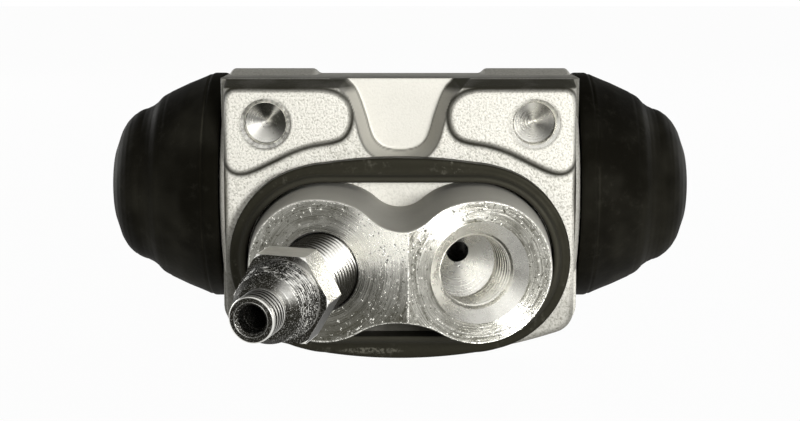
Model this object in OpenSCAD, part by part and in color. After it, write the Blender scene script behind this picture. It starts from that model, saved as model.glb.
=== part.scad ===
// Drum-brake wheel cylinder with two pistons.
// The origin is midway between the two mounting holes, on the face of the mounting pads.
// +X runs along the bore, +Z is up, and the pads face -Y, towards the brake's backplate.

/* [Bore and barrel] */
// Diameter of the bore
bore_d = 22.2; // [17:0.1:25]
// How far the bore's axis lies behind the pad face
bore_depth = 18; // [17.5:0.1:22]
// How far the bore's axis lies below the line of the mounting holes
bore_drop = 10.5; // [10:0.1:13]
// Length of the cast barrel
barrel_len = 50; // [46:0.5:60]
// Wall of the barrel at its middle
barrel_wall = 5.3; // [4.5:0.1:6]
// How far the collars at both ends stand above the barrel
collar_rise = 0.7; // [0.3:0.1:1.2]
// Width of each collar
collar_w = 13.5; // [9:0.5:18]
// Length of the spigot that carries the dust boot
spigot_len = 3.5; // [3:0.1:5]
// Wall of the spigot
spigot_wall = 2.6; // [2:0.1:3]
// Depth of the groove in the spigot
spigot_groove = 0.7; // [0.4:0.1:1]

/* [Mounting face] */
// Distance between the mounting holes
hole_spacing = 37; // [34:0.5:40]
// Diameter of the mounting holes
hole_d = 5.7; // [5:0.1:6.6]
// Depth of the full diameter of the mounting holes
hole_depth = 6.5; // [5:0.1:7]
// Width of the chamfer at the mouth of the mounting holes
hole_chamfer = 0.55; // [0.3:0.05:1]
// How far the sides of the casting's face lie inside the barrel's ends
face_inset = 0.7; // [0.5:0.1:2]
// How far the raised pads stand proud of the casting's face
pad_h = 1; // [0.6:0.1:1.5]
// Height of the pads' inner ends
pad_end_h = 7.2; // [6:0.1:8]
// How much further down the pads reach at the sides
pad_lobe = 4.4; // [3:0.1:6]
// Gap between the two pads
pad_gap = 13.2; // [11:0.2:15]
// How far the flange plate lies behind the pad face
plate_depth = 5.5; // [4:0.1:6.5]
// How far the plate stands out beyond the barrel's ends
plate_proud = 0.1; // [0.05:0.05:0.2]
// How far the pads' top edge lies below the top of the plate
pad_top_drop = 1.2; // [0.6:0.1:2]
// Radius of the casting's lower corners
corner_r = 5.5; // [3:0.1:7]
// How far the casting reaches below the seal
seal_margin = 0.6; // [0.3:0.1:1.5]
// Thickness of the flange plate at the casting's lower edge
plate_t = 4; // [3:0.1:6]
// Radius of the convex lower edge
lower_edge_r = 70; // [50:1:120]
// Width of the relief's floor at its top
relief_top_w = 13.8; // [10:0.2:15]
// Width of the relief's floor at its foot
relief_foot_w = 6.2; // [4:0.2:8]
// Draft of the relief's walls, in degrees
relief_draft = 13; // [5:1:18]

/* [Port boss] */
// Distance between the two halves of the boss
boss_spacing = 21; // [20:0.1:24]
// How far the boss lies below the line of the mounting holes
boss_drop = 18.5; // [17:0.1:21]
// Diameter of each half of the boss at its face
boss_d = 19; // [17:0.1:20]
// Height of the boss above the pads, at the inlet's axis
boss_h = 12.5; // [9:0.1:15]
// How much lower the bleed screw's face lies
bleed_face_drop = 1; // [0:0.1:2]
// Draft of the boss's walls, in degrees
boss_draft = 4.2; // [1:0.1:6]
// Half height of the waist above the boss's centre line
waist_up = 5.5; // [4:0.1:7]
// Half height of the waist below the boss's centre line
waist_down = 6.5; // [4:0.1:7]
// Splay of the inlet's axis, in degrees
inlet_splay = 15; // [0:1:20]
// Splay of the bleed screw's axis, in degrees
bleed_splay = 17; // [0:1:20]
// Downward lean of the bleed screw's axis, in degrees
bleed_lean = 4; // [0:0.5:6]
// Diameter of the inlet's tapping hole
inlet_d = 9; // [8:0.1:10]
// Depth of the inlet's tapped wall below its countersink
inlet_depth = 7.2; // [6:0.1:9]
// Diameter of the inlet's countersink
inlet_sink_d = 13.5; // [11.5:0.1:14]
// Diameter of the countersink of the bleed screw's hole
sink_d = 12.6; // [11.5:0.1:14]
// Diameter of the drilled passages to the bore
feed_d = 2.7; // [1.5:0.1:3]
// How far the inlet's passage starts beside its axis
feed_aside = 0.5; // [0:0.1:2]
// How far the inlet's passage starts above its axis
feed_above = 1.5; // [0:0.1:2]

/* [Backplate seal] */
// Thickness of the seal's body
seal_t = 2.8; // [2:0.1:4]
// Height of the lip that stands on the seal's inner edge
seal_lip_h = 0.7; // [0.3:0.1:1.2]
// Width of that lip
seal_lip_w = 1.1; // [0.6:0.1:1.5]
// Width of the seal at its ends
seal_end_w = 2.3; // [1.8:0.1:3]
// Width of the seal at the middle of its long sides
seal_side_w = 3.3; // [2.5:0.1:3.6]

/* [Bleed screw] */
// Diameter of the screw's thread
screw_d = 10; // [8:0.1:11]
// Length of thread that shows between boss and hexagon
screw_shown = 9.6; // [4:0.1:10]
// Length of thread inside the boss
screw_held = 7.5; // [6:0.1:8.5]
// How much deeper the thread in the boss runs
screw_spare = 1.5; // [1:0.1:2]
// Length of the neck between the thread and the sealing cone
screw_neck_len = 3; // [2:0.1:3.5]
// Width of the hexagon across its flats
hex_af = 11; // [10.5:0.1:12]
// Height of the hexagon
hex_h = 4.7; // [4:0.1:6]
// Length of the tapered barrel
taper_len = 5.7; // [5:0.1:8]
// Diameter of the tapered barrel at the hexagon
taper_d = 10; // [9:0.1:10.4]
// Diameter of the tapered barrel at its outer end
taper_end_d = 8.7; // [7.5:0.1:9]
// Length of the nipple
nipple_len = 4; // [3:0.1:6]
// Diameter of the nipple
nipple_d = 5.3; // [4.6:0.1:6]
// Chamfer at the end of the tapered barrel
taper_chamfer = 0.8; // [0.4:0.1:1]
// Chamfer at the tip of the nipple
tip_chamfer = 0.35; // [0.2:0.05:0.5]
// Diameter of the hole through the screw
screw_hole_d = 3.2; // [2:0.1:3.6]
// Diameter of the cross hole above the sealing cone
cross_hole_d = 1.6; // [1:0.1:2]

/* [Pistons and cups] */
// Length of the piston's full diameter
piston_len = 15.6; // [13:0.1:17]
// How far the piston's inner face lies from the middle of the bore
piston_start = 11.6; // [10.5:0.1:12]
// Diameter of the piston's nose
nose_d = 10.6; // [9.5:0.1:12]
// Depth of the boot's groove in the nose
nose_groove = 1.1; // [0.8:0.1:1.3]
// Width of that groove
nose_groove_w = 1.5; // [1.2:0.1:2]
// Length of the nose beyond that groove
nose_head = 0.9; // [0.7:0.1:1.2]
// How far the nose lies inside the boot's mouth
nose_inset = 0.4; // [0.2:0.1:0.8]
// Width of the slot for the brake shoe's web
slot_w = 5; // [4.6:0.1:5.4]
// Depth of that slot
slot_depth = 6.5; // [5:0.1:8]
// Length of the pressure cups
cup_len = 5.2; // [4.5:0.1:6]
// Thickness of the cups' base
cup_base = 2; // [1.5:0.1:2.6]
// Thickness of the cups' lip
cup_lip = 2.4; // [1.8:0.1:3]
// Chamfer on the cups' edges
cup_edge = 0.6; // [0.3:0.1:0.8]
// Thickness of the spring seats' disc
seat_t = 1; // [0.8:0.1:1.4]
// Diameter of the spring's wire
wire_d = 1.1; // [0.8:0.1:1.3]
// Mean diameter of the spring
spring_d = 11.2; // [10:0.1:12]
// Turns of the spring
spring_turns = 4.5; // [3:0.5:6]

/* [Dust boots] */
// Length of the boots
boot_len = 16.6; // [15:0.1:20]
// Wall of the boots
boot_wall = 1.5; // [1.2:0.1:1.8]
// Thickness of the rim round the spigot
boot_rim_t = 2.8; // [2.4:0.1:3.4]
// Width of the rim
boot_rim_w = 2.4; // [2:0.1:3]
// Radius of the boot's straight nose
boot_nose_r = 10.8; // [10:0.1:12]
// Length of the boot's nose
boot_nose_len = 3.4; // [2.8:0.1:4.5]
// Distance from that nose to the boot's shoulder
boot_step_len = 4.7; // [3.5:0.1:5.5]
// How much wider the boot is at its shoulder
boot_step_rise = 2.8; // [1.5:0.1:3.5]

/* [Clearances] */
// Radial clearance of a piston in the bore and a thread in its hole
running_gap = 0.04; // [0.02:0.01:0.08]
// Gap between a rubber piece and what it sits on
rubber_gap = 0.15; // [0.1:0.01:0.25]
// Gap between pieces that move past each other
free_gap = 0.3; // [0.25:0.05:0.4]
// Gap under a piece that rests on a flat face
contact_gap = 0.02; // [0.01:0.01:0.05]

/* [Hidden] */
$fn = 96;
overcut = 1;
drill_point = 59;
// How far the fillets of the waist run into the boss's halves
waist_bite = 0.25;
// Break of a turned piece's edges
edge_break = 0.3;
// Length of a thread's lead-in
thread_lead = 0.6;

bore_r = bore_d / 2;
bore_z = -bore_drop;
barrel_r = bore_r + barrel_wall;
collar_r = barrel_r + collar_rise;
spigot_r = bore_r + spigot_wall;
half_len = barrel_len / 2;
face_w = barrel_len - 2 * face_inset;
plate_half_w = half_len + plate_proud;
spigot_end = half_len + spigot_len;
groove_r = spigot_r - spigot_groove;
groove_start = half_len + spigot_len * 0.3;
groove_end = spigot_end - spigot_len * 0.3;

plate_top = bore_z + barrel_r;
pad_top = plate_top - pad_top_drop;
pad_end_r = pad_end_h / 2;
boss_z = -boss_drop;
inlet_x = boss_spacing / 2;
boss_r = boss_d / 2;
bleed_h = boss_h - bleed_face_drop;
inlet_sink_h = inlet_sink_d / 2 - inlet_d / 2 - thread_lead;
boss_foot_r = boss_r + (boss_h + pad_h) * tan(boss_draft);

seal_in_r = boss_foot_r + rubber_gap;
seal_out_r = seal_in_r + seal_end_w;
seal_out_h = seal_in_r + seal_side_w;
seal_foot = pad_h - contact_gap;
lower_edge_z = boss_z - seal_out_h - seal_margin;

piston_r = bore_r - running_gap;
screw_r = screw_d / 2;
screw_hole_wall_r = screw_r + running_gap;
screw_seat_r = screw_r * 0.75;
screw_thread_end = screw_held + screw_spare;
boot_start = half_len + free_gap;
boot_end = half_len + boot_len + free_gap;
boot_rim_r = spigot_r + boot_rim_t;
nose_r = nose_d / 2;
nose_end = boot_end - nose_inset;
nose_groove_x = nose_end - nose_head - nose_groove_w;
seat_x = piston_start - cup_base - seat_t;

// Lays a shape drawn in X and Z between two depths in Y.
module between_depths(near, far) {
    translate([0, far, 0]) rotate([90, 0, 0]) linear_extrude(far - near) children();
}

// Lays a shape drawn in Y and Z across a width in X.
module across(width) {
    translate([-width / 2, 0, 0]) rotate([90, 0, 90]) linear_extrude(width) children();
}

// Revolves a profile of [radius, distance] points about the bore's axis.
module about_bore(points) {
    translate([0, bore_depth, bore_z]) rotate([0, 90, 0]) rotate_extrude() polygon(points);
}

// Puts a shape drawn along +Z on the inlet's axis, with z = 0 on the boss's face.
module on_inlet_axis() {
    translate([inlet_x, -boss_h, boss_z]) rotate([90, 0, inlet_splay]) children();
}

// Puts a shape drawn along +Z on the bleed screw's axis, with z = 0 on the boss's face.
module on_bleed_axis() {
    translate([-inlet_x, -bleed_h, boss_z]) rotate([90 + bleed_lean, 0, -bleed_splay]) children();
}

// The side that a shape for +X has at the other end of the bore.
module other_end() {
    mirror([1, 0, 0]) children();
}

// A stadium of two half circles, as wide as the boss's halves stand apart.
module stadium(radius) {
    for (side = [-1, 1]) translate([side * inlet_x, boss_z]) circle(radius);
    translate([-inlet_x, boss_z - radius]) square([2 * inlet_x, 2 * radius]);
}

// An oval of four tangent arcs: end arcs of end_r about the boss's halves, and crowned long sides of half_h.
module oval(end_r, half_h) {
    crown_r = (inlet_x ^ 2 + half_h ^ 2 - end_r ^ 2) / (2 * (half_h - end_r));
    reach = inlet_x * crown_r / (crown_r - end_r);
    for (side = [-1, 1]) translate([side * inlet_x, boss_z]) circle(end_r);
    intersection() {
        translate([0, boss_z + half_h - crown_r]) circle(crown_r, $fn = 240);
        translate([0, boss_z - half_h + crown_r]) circle(crown_r, $fn = 240);
        translate([-reach, boss_z - half_h]) square([2 * reach, 2 * half_h]);
    }
}

// Outline of the casting's face: straight sides, rounded lower corners and a convex lower edge.
module face_outline(half_w, top) {
    arc_z = lower_edge_z + lower_edge_r;
    corner_x = half_w - corner_r;
    corner_z = arc_z - sqrt((lower_edge_r - corner_r) ^ 2 - corner_x ^ 2);
    reach = corner_x * lower_edge_r / (lower_edge_r - corner_r);
    for (side = [-1, 1]) translate([side * corner_x, corner_z]) circle(corner_r);
    translate([-half_w, corner_z]) square([2 * half_w, top - corner_z]);
    intersection() {
        translate([0, arc_z]) circle(lower_edge_r, $fn = 240);
        translate([-reach, lower_edge_z]) square([2 * reach, corner_z - lower_edge_z + overcut]);
    }
}

// Outline of the right-hand pad: a round inner end and a lower edge that swings down to the side.
module pad_outline() {
    end_x = pad_gap / 2 + pad_end_r;
    side_x = face_w / 2;
    steps = 12;
    swing = [for (i = [0:steps]) let (t = i / steps)
        [end_x + t * (side_x - end_x - corner_r / 2),
         pad_top - pad_end_h - pad_lobe * (1 - cos(180 * t)) / 2]];
    translate([end_x, pad_top - pad_end_r]) circle(pad_end_r);
    polygon(concat([[end_x, pad_top]], swing,
        [[side_x - pad_h, pad_top - pad_end_h - pad_lobe], [side_x, pad_top - pad_end_h - pad_lobe + pad_h],
         [side_x, pad_top - pad_h], [side_x - pad_h, pad_top]]));
}

// The casting's block: pads, face, flange plate and the sloping back that runs into the barrel.
module casting_block() {
    intersection() {
        union() {
            between_depths(pad_h, bore_depth) face_outline(face_w / 2, plate_top);
            between_depths(plate_depth, bore_depth) face_outline(plate_half_w, plate_top);
            between_depths(0, bore_depth) pad_outline();
            other_end() between_depths(0, bore_depth) pad_outline();
        }
        across(2 * (plate_half_w + overcut))
            polygon([[0, pad_top], [plate_depth, plate_top], [bore_depth, plate_top],
                     [bore_depth, bore_z - barrel_r], [plate_depth + plate_t, lower_edge_z],
                     [0, lower_edge_z]]);
    }
}

// The barrel with its end collars, held back behind the casting's face, and the grooved spigots for the boots.
module barrel() {
    collar_x = half_len - collar_w;
    collar = [[barrel_r, collar_x], [collar_r, collar_x + collar_rise], [collar_r, half_len - collar_rise],
              [collar_r - collar_rise, half_len]];
    spigot = [[spigot_r, groove_start], [groove_r, groove_start], [groove_r, groove_end], [spigot_r, groove_end],
              [spigot_r, spigot_end - spigot_groove], [spigot_r - spigot_groove, spigot_end]];
    function both_ends(right, reach) = concat([[0, reach], [0, -reach]],
        [for (i = [len(right) - 1:-1:0]) [right[i][0], -right[i][1]]], right);
    difference() {
        about_bore(both_ends(collar, half_len));
        between_depths(bore_depth - collar_r - overcut, plate_depth + edge_break)
            translate([-half_len - overcut, bore_z - collar_r])
                square([2 * (half_len + overcut), 2 * collar_r]);
    }
    about_bore(both_ends(spigot, spigot_end));
}

// The figure-eight boss: two drafted cones and a waisted web, cut by the two splayed faces.
module boss() {
    far_h = boss_h + inlet_x;
    length = far_h + plate_depth;
    slope = tan(boss_draft);
    cut_w = 4 * boss_spacing;
    function fillet_r(waist) = (inlet_x ^ 2 + waist ^ 2 - boss_r ^ 2) / (2 * (boss_r - waist));
    up_r = fillet_r(waist_up);
    down_r = fillet_r(waist_down);
    up_z = waist_up + up_r;
    down_z = waist_down + down_r;
    web_up_x = inlet_x * (1 - boss_r / up_z);
    web_down_x = inlet_x * (1 - boss_r / down_z);
    difference() {
        union() {
            for (side = [-1, 1]) translate([side * inlet_x, plate_depth, boss_z]) rotate([90, 0, 0])
                cylinder(h = length, r1 = boss_r + (boss_h + plate_depth) * slope, r2 = boss_r - inlet_x * slope);
            between_depths(-far_h, plate_depth) translate([0, boss_z])
                polygon([[-inlet_x, 0], [-web_down_x, -boss_r], [web_down_x, -boss_r],
                         [inlet_x, 0], [web_up_x, boss_r], [-web_up_x, boss_r]]);
        }
        for (waist = [[up_z, up_r], [-down_z, down_r]])
            translate([0, pad_h, boss_z + waist[0]]) rotate([90, 0, 0])
                cylinder(h = far_h + pad_h + overcut, r1 = waist[1] + waist_bite - (boss_h + pad_h) * slope,
                         r2 = waist[1] + waist_bite + (far_h - boss_h + overcut) * slope);
        on_inlet_axis() translate([-cut_w / 2, -cut_w / 2, 0]) cube([cut_w, cut_w, far_h]);
        translate([-inlet_x, -bleed_h, boss_z]) rotate([90, 0, -bleed_splay])
            translate([-cut_w / 2, -cut_w / 2, 0]) cube([cut_w, cut_w, far_h]);
    }
}

// The relief between the pads: a flat floor with drafted walls and round lower corners, open at the top.
module relief() {
    slab = 0.2;
    spread = (plate_depth + overcut) * tan(relief_draft);
    foot_r = relief_foot_w / 3;
    foot_z = boss_z + seal_out_h + (plate_depth - pad_h) * tan(relief_draft) + foot_r;
    open_z = plate_top + overcut;
    module section(near, grow) {
        between_depths(near, near + slab) {
            for (side = [-1, 1]) translate([side * (relief_foot_w / 2 - foot_r), foot_z])
                circle(foot_r + grow, $fn = 32);
            translate([-relief_top_w / 2 - grow, open_z]) square([relief_top_w + 2 * grow, slab]);
        }
    }
    hull() {
        section(plate_depth - slab, 0);
        section(-overcut, spread);
    }
}

// A blind mounting hole with its chamfer and drill point.
module mounting_hole() {
    hole_r = hole_d / 2;
    rotate([90, 0, 0]) rotate_extrude() polygon([
        [0, overcut], [hole_r + hole_chamfer + overcut, overcut], [hole_r, -hole_chamfer],
        [hole_r, -hole_depth], [0, -hole_depth - hole_r / tan(drill_point)]]);
}

// The inlet: countersink, tapping hole and drill point.
module inlet_hole() {
    sink_r = inlet_sink_d / 2;
    wall_r = inlet_d / 2;
    sink_h = inlet_sink_h;
    on_inlet_axis() rotate_extrude() polygon([
        [0, overcut], [sink_r + overcut, overcut], [wall_r + thread_lead, -sink_h], [wall_r, -sink_h - thread_lead],
        [wall_r, -sink_h - inlet_depth], [0, -sink_h - inlet_depth - wall_r / tan(drill_point)]]);
}

// The bleed screw's hole: countersink, thread, relief and seat.
module bleed_hole() {
    sink_r = sink_d / 2;
    wall_r = screw_hole_wall_r;
    seat_end = screw_thread_end + screw_seat_r + thread_lead;
    on_bleed_axis() rotate_extrude() polygon([
        [0, overcut], [sink_r + overcut, overcut], [wall_r, -sink_r + wall_r],
        [wall_r, -screw_thread_end], [screw_seat_r, -screw_thread_end - thread_lead],
        [screw_seat_r, -seat_end + screw_seat_r - feed_d / 2],
        [feed_d / 2, -seat_end], [0, -seat_end]]);
}

// A drilled passage between two points.
module passage(from, to) {
    way = to - from;
    translate(from) rotate([0, 0, atan2(way[1], way[0])]) rotate([0, acos(way[2] / norm(way)), 0])
        cylinder(h = norm(way), d = feed_d);
}

module cylinder_body() {
    inlet_floor = inlet_sink_h + inlet_depth;
    inlet_end = [inlet_x - inlet_floor * sin(inlet_splay) - feed_aside,
                 -boss_h + inlet_floor * cos(inlet_splay), boss_z + feed_above];
    bleed_floor = screw_thread_end + screw_seat_r;
    bleed_end = [-inlet_x + bleed_floor * sin(bleed_splay), -bleed_h + bleed_floor * cos(bleed_splay),
                 boss_z + bleed_floor * sin(bleed_lean)];
    feed_x = seat_x * 0.3;
    color("lightgray") difference() {
        union() {
            casting_block();
            barrel();
            boss();
        }
        about_bore([[0, -spigot_end - overcut], [bore_r, -spigot_end - overcut],
                    [bore_r, spigot_end + overcut], [0, spigot_end + overcut]]);
        relief();
        for (side = [-1, 1]) translate([side * hole_spacing / 2, 0, 0]) mounting_hole();
        inlet_hole();
        bleed_hole();
        passage(inlet_end, [feed_x, bore_depth, bore_z]);
        passage(bleed_end, [-feed_x, bore_depth, bore_z]);
    }
}

module backplate_seal() {
    color([0.06, 0.06, 0.05]) {
        difference() {
            union() {
                between_depths(pad_h - seal_t, seal_foot) oval(seal_out_r, seal_out_h);
                between_depths(pad_h - seal_t - seal_lip_h, seal_foot) stadium(seal_in_r + seal_lip_w);
            }
            between_depths(pad_h - seal_t - seal_lip_h - overcut, pad_h + overcut) stadium(seal_in_r);
        }
    }
}

module bleed_screw() {
    hex_start = screw_shown;
    taper_start = hex_start + hex_h;
    nipple_start = taper_start + taper_len;
    tip = nipple_start + nipple_len;
    neck_r = screw_r * 0.66;
    cone_start = -screw_held - screw_neck_len;
    cone_end = cone_start - neck_r * 0.7;
    cross_z = cone_start + screw_neck_len * 0.4;
    hole_r = screw_hole_d / 2;
    nipple_r = nipple_d / 2;
    corner = hex_af / sqrt(3);
    chamfer_r = hex_af / 2 - edge_break / 2;
    color("silver") on_bleed_axis() difference() {
        union() {
            rotate_extrude() polygon([
                [0, cone_end], [neck_r * 0.3, cone_end], [neck_r, cone_start], [neck_r, -screw_held - thread_lead],
                [screw_r, -screw_held], [screw_r, hex_start + hex_h / 3],
                [taper_d / 2, taper_start - hex_h / 3], [taper_d / 2, taper_start],
                [taper_end_d / 2, nipple_start - taper_chamfer],
                [taper_end_d / 2 - taper_chamfer, nipple_start], [nipple_r, nipple_start],
                [nipple_r, tip - tip_chamfer], [nipple_r - tip_chamfer, tip], [0, tip]]);
            intersection() {
                translate([0, 0, hex_start]) cylinder(h = hex_h, r = corner, $fn = 6);
                rotate_extrude() polygon([
                    [0, hex_start], [chamfer_r, hex_start], [corner, hex_start + (corner - chamfer_r) / 2],
                    [corner, taper_start - (corner - chamfer_r) / 2], [chamfer_r, taper_start],
                    [0, taper_start]]);
            }
        }
        translate([0, 0, cross_z]) cylinder(h = tip + overcut - cross_z, r = hole_r);
        translate([0, 0, tip - edge_break])
            cylinder(h = edge_break + overcut, r1 = hole_r, r2 = hole_r + edge_break + overcut);
        translate([-screw_r, 0, cross_z]) rotate([0, 90, 0])
            cylinder(h = screw_d, d = cross_hole_d);
    }
}

// The right-hand piston: full diameter, tapered shoulder, nose with the boot's groove, and slot.
module piston() {
    shoulder = piston_start + piston_len;
    nose_start = shoulder + (piston_r - nose_r) * 0.6;
    seat_r = nose_r - nose_groove;
    head_r = nose_r - nose_groove / 2;
    color("gainsboro") difference() {
        about_bore([
            [0, piston_start], [piston_r - edge_break, piston_start], [piston_r, piston_start + edge_break],
            [piston_r, shoulder], [nose_r, nose_start], [nose_r, nose_groove_x],
            [seat_r, nose_groove_x], [seat_r, nose_end - nose_head], [head_r, nose_end - nose_head + edge_break],
            [head_r, nose_end - edge_break], [head_r - edge_break, nose_end], [0, nose_end]]);
        translate([nose_end - slot_depth, bore_depth - slot_w / 2, bore_z - nose_d])
            cube([slot_depth + overcut, slot_w, 2 * nose_d]);
    }
}

module right_piston() {
    piston();
}

module left_piston() {
    other_end() piston();
}

// The right-hand pressure cup, lip towards the middle of the bore.
module cup_seal() {
    lip_start = piston_start - cup_len;
    lip_r = piston_r - cup_lip;
    color([0.05, 0.05, 0.05]) about_bore([
        [0, piston_start - cup_base], [lip_r, piston_start - cup_base], [piston_r - cup_lip * 0.6, lip_start],
        [piston_r - edge_break, lip_start], [piston_r, lip_start + cup_edge], [piston_r, piston_start - cup_edge],
        [piston_r - cup_edge, piston_start], [0, piston_start]]);
}

module right_cup_seal() {
    cup_seal();
}

module left_cup_seal() {
    other_end() cup_seal();
}

// The right-hand spring seat: a disc on the cup's base with a hub inside the spring.
module spring_seat() {
    disc_r = piston_r - cup_lip - rubber_gap;
    hub_r = spring_d / 2 - wire_d / 2 - free_gap;
    hub_start = seat_x - wire_d * 1.5;
    color("darkkhaki") about_bore([
        [hub_r - seat_t, hub_start], [hub_r, hub_start], [hub_r, seat_x], [disc_r, seat_x],
        [disc_r, seat_x + seat_t], [0, seat_x + seat_t], [0, seat_x], [hub_r - seat_t, seat_x]]);
}

module right_spring_seat() {
    spring_seat();
}

module left_spring_seat() {
    other_end() spring_seat();
}

// The coil spring: a round wire carried along a helix between the two seats.
module cup_spring() {
    sides = 8;
    steps = round(spring_turns * 20);
    coil_r = spring_d / 2;
    wire_r = wire_d / 2;
    half = seat_x - free_gap - wire_r;
    function ring(i) = let (t = i / steps, a = 360 * spring_turns * t) [
        for (k = [0:sides - 1]) let (b = 360 * k / sides, r = coil_r + wire_r * cos(b))
            [-half + 2 * half * t + wire_r * sin(b), bore_depth + r * cos(a), bore_z + r * sin(a)]];
    points = [for (i = [0:steps]) each ring(i)];
    walls = [for (i = [0:steps - 1], k = [0:sides - 1]) let (n = (k + 1) % sides)
        [i * sides + k, i * sides + n, (i + 1) * sides + n, (i + 1) * sides + k]];
    caps = [[for (k = [sides - 1:-1:0]) k], [for (k = [0:sides - 1]) steps * sides + k]];
    color("gray") polyhedron(points, concat(walls, caps));
}

// The right-hand dust boot: rim on the spigot, tapering wall, straight nose and bead in the piston's groove.
module dust_boot() {
    nose_x = boot_end - boot_nose_len;
    rim_x = boot_start + boot_rim_w;
    bead_r = nose_r - nose_groove + rubber_gap;
    mouth_r = nose_r - nose_groove / 2 + free_gap;
    rim_in_r = spigot_r + rubber_gap;
    cone_x = nose_x - boot_step_len;
    cone_r = boot_nose_r + boot_step_rise;
    turn = boot_nose_len / 3;
    outer = [[boot_rim_r - edge_break, boot_start], [boot_rim_r, boot_start + edge_break],
             [boot_rim_r, rim_x - edge_break], [boot_rim_r - edge_break, rim_x],
             [boot_rim_r - edge_break, rim_x + 2 * edge_break], [cone_r, cone_x],
             [cone_r - turn / 2, cone_x + turn], [boot_nose_r + turn / 2, nose_x - 2 * turn], [boot_nose_r, nose_x],
             [boot_nose_r - turn / 2, nose_x + turn], [boot_nose_r - 1.4 * turn, nose_x + 1.6 * turn],
             [mouth_r, boot_end]];
    inner = [[mouth_r, nose_end - nose_head + edge_break], [bead_r, nose_end - nose_head - rubber_gap],
             [bead_r, nose_groove_x + free_gap], [nose_r + free_gap, nose_groove_x + free_gap],
             [boot_nose_r - boot_wall, nose_groove_x - free_gap],
             [boot_nose_r - boot_wall, nose_x - 1], [cone_r - boot_wall, cone_x],
             [rim_in_r, spigot_end + free_gap], [rim_in_r, groove_end - rubber_gap],
             [groove_r + rubber_gap, groove_end - rubber_gap], [groove_r + rubber_gap, groove_start + rubber_gap],
             [rim_in_r, groove_start + rubber_gap], [rim_in_r, boot_start]];
    color([0.05, 0.05, 0.045]) about_bore(concat(outer, inner));
}

module right_dust_boot() {
    dust_boot();
}

module left_dust_boot() {
    other_end() dust_boot();
}

cylinder_body();
backplate_seal();
bleed_screw();
left_piston();
right_piston();
left_cup_seal();
right_cup_seal();
left_spring_seat();
right_spring_seat();
cup_spring();
left_dust_boot();
right_dust_boot();
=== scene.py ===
"""A drum-brake wheel cylinder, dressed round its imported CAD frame.

Shapes are worked out in millimetres, in the frame of the CAD, and become metres where a mesh is made.
"""

import bpy
import numpy as np
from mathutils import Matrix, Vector


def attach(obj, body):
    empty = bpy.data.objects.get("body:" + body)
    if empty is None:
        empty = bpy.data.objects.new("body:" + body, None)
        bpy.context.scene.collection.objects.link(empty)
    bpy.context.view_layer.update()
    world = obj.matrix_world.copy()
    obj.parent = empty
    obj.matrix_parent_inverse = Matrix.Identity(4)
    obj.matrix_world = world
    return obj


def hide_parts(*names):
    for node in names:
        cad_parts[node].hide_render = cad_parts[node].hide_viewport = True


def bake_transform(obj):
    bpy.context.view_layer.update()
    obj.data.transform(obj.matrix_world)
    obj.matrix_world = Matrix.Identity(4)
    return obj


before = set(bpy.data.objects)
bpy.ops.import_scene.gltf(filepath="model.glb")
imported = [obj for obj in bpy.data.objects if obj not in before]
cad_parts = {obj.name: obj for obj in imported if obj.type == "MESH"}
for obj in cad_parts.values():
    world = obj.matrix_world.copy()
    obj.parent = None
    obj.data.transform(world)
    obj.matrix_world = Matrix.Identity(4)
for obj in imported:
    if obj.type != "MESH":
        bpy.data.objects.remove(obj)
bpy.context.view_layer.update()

# The front of the casting: a die-cast aluminium block with two raised pads that bear on the backplate and a
# drafted relief between them. The die leaves soft fillets at every step and a fine grain on the flat faces.
MM, TO_MM = 0.001, 1000


class Value:
    """A socket of a material.

    Sums of values add the Math nodes they need, so 1 - mask * 0.4 reads as it is written.
    """

    def __init__(self, tree, socket):
        self.tree, self.socket = tree, socket

    def node(self, kind, settings, inputs, output=0):
        """Any other node: its settings are set first, then its sockets take their values or links."""
        made = self.tree.nodes.new("ShaderNode" + kind)
        for key, value in settings.items():
            setattr(made, key, value)
        for key, value in inputs.items():
            if isinstance(value, Value):
                self.tree.links.new(value.socket, made.inputs[key])
            else:
                made.inputs[key].default_value = value
        return Value(self.tree, made.outputs[output])

    def sum_of(self, operation, a, b):
        return self.node("Math", {"operation": operation}, {0: a, 1: b})

    def __add__(self, other):
        return self.sum_of("ADD", self, other)

    def __sub__(self, other):
        return self.sum_of("SUBTRACT", self, other)

    def __rsub__(self, other):
        return self.sum_of("SUBTRACT", other, self)

    def __mul__(self, other):
        return self.sum_of("MULTIPLY", self, other)

    def __truediv__(self, other):
        return self.sum_of("DIVIDE", self, other)

    def __pow__(self, other):
        return self.sum_of("POWER", self, other)

    __radd__, __rmul__ = __add__, __mul__

    def most(self, other):
        return self.sum_of("MAXIMUM", self, other)

    def step(self, low, high):
        """0 below low, 1 above high, and a smooth rise between them."""
        return self.node("MapRange", {"interpolation_type": "SMOOTHSTEP"}, {0: self, 1: low, 2: high, 3: 0.0, 4: 1.0})

    def colour(self, low, high):
        """A colour that goes from low to high as this value goes from 0 to 1."""
        pair = [c if isinstance(c, Value) else (*c, 1.0) for c in (low, high)]
        return self.node("Mix", {"data_type": "RGBA"}, {0: self, 6: pair[0], 7: pair[1]}, 2)

    def noise(self, scale, detail=2.0, rough=0.5):
        """Cloudy noise, read at this place, about 0.5 on average; scale is its number of blotches in a metre."""
        return self.node("TexNoise", {}, {"Vector": self, "Scale": scale, "Detail": detail, "Roughness": rough})

    def part(self, axis):
        return self.node("SeparateXYZ", {}, {0: self}, axis)

    def vector(self, operation, other=(0, 0, 0), output=0):
        """A vector sum of this value and another; a length or a product of two comes out at output 1."""
        return self.node("VectorMath", {"operation": operation}, {0: self, 1: other}, output)

    def from_axis(self, centre, direction):
        """Distance in millimetres from an axis: the length of the way from centre, less its share along direction."""
        way = self.vector("SUBTRACT", [c * MM for c in centre])
        across = way.vector("SUBTRACT", way.vector("PROJECT", direction))
        return across.vector("LENGTH", output=1) * TO_MM


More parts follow.
